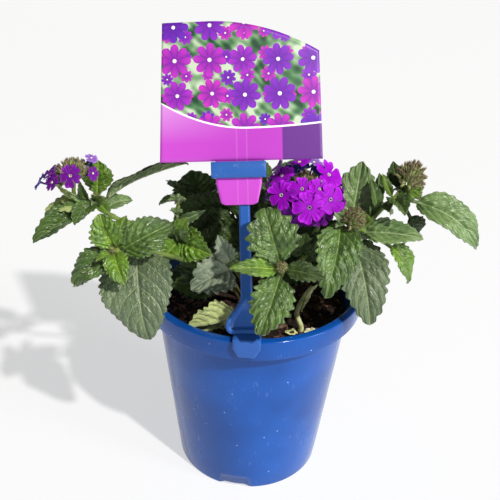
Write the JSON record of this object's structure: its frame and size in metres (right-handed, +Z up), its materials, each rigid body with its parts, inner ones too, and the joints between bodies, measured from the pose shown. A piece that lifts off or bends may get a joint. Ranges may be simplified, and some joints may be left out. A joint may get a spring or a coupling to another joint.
{
  "type": "potted verbena plant",
  "caption": "Young trailing verbena with purple flower heads in a tapered nursery pot, with a clip-on plant label standing on the rim.",
  "frame": {"origin": "centre of the pot's underside, on the surface that it stands on", "axes": "+Z up along the pot's axis, -Y is the front, where the label clip stands, +X is to the right seen from the front"},
  "size_m": [0.2628, 0.1645, 0.2948],
  "materials": {
    "pot_plastic": "glossy moulded polypropylene",
    "clip_plastic": "satin moulded plastic",
    "label_sheet": "printed plastic sheet",
    "potting_mix": "moist composted bark",
    "stem": "hairy green stem",
    "leaf_young": "glossy young leaf",
    "leaf_green": "glossy wrinkled leaf",
    "leaf_old": "grey-green older leaf",
    "leaf_pale": "pale leaf underside",
    "leaf_dry": "dried shoot",
    "petal": "velvety purple petal",
    "bud": "closed hairy buds"
  },
  "bodies": {
    "root": {"pot": "pot_plastic", "potting_mix": "potting_mix", "label_clip": "clip_plastic", "care_label": "label_sheet", "shoot_far_left": "stem", "leaf_far_left_upright": "leaf_green", "leaf_far_left_lower": "leaf_green", "leaf_far_left_arching": "leaf_old", "leaf_far_left_inner": "leaf_green", "leaf_far_left_folded": "leaf_green", "flower_head_left": "petal", "shoot_left": "stem", "leaf_left_upper": "leaf_young", "leaf_left_back": "leaf_young", "leaf_left_inner": "leaf_green", "leaf_left_lower": "leaf_young", "leaf_left_outer": "leaf_green", "leaf_left_hanging": "leaf_old", "shoot_inner_left": "stem", "leaf_inner_left": "leaf_young", "shoot_arching": "stem", "leaf_inner_dark": "leaf_old", "shoot_low_middle": "stem", "leaf_middle_small": "leaf_old", "leaf_middle_grey": "leaf_old", "shoot_low_front": "stem", "leaf_pale_underside": "leaf_pale", "shoot_front": "stem", "leaf_front_upper": "leaf_green", "leaf_front_left": "leaf_young", "leaf_front_right": "leaf_green", "leaf_front_lower": "leaf_green", "bud_front": "bud", "shoot_flower": "stem", "flower_head_right": "petal", "shoot_right_front": "stem", "leaf_right_front": "leaf_green", "bud_head_front": "bud", "shoot_right": "stem", "leaf_right_pointing": "leaf_green", "leaf_right_hanging": "leaf_young", "leaf_right_lower": "leaf_old", "leaf_right_behind": "leaf_green", "leaf_right_folded": "leaf_green", "leaf_right_under": "leaf_green", "leaf_right_tip": "leaf_green", "leaf_right_bract": "leaf_old", "bud_head_right": "bud", "shoot_dry": "leaf_dry", "shoot_back": "stem", "leaf_back_left": "leaf_green", "leaf_back_right": "leaf_green", "leaf_back_lower": "leaf_old", "shoot_back_right": "stem", "leaf_back_right_outer": "leaf_green", "leaf_back_right_lower": "leaf_old", "leaf_back_right_upper": "leaf_young", "shoot_back_left": "stem", "leaf_back_left_outer": "leaf_green", "leaf_back_left_lower": "leaf_old"}
  },
  "joints": []
}
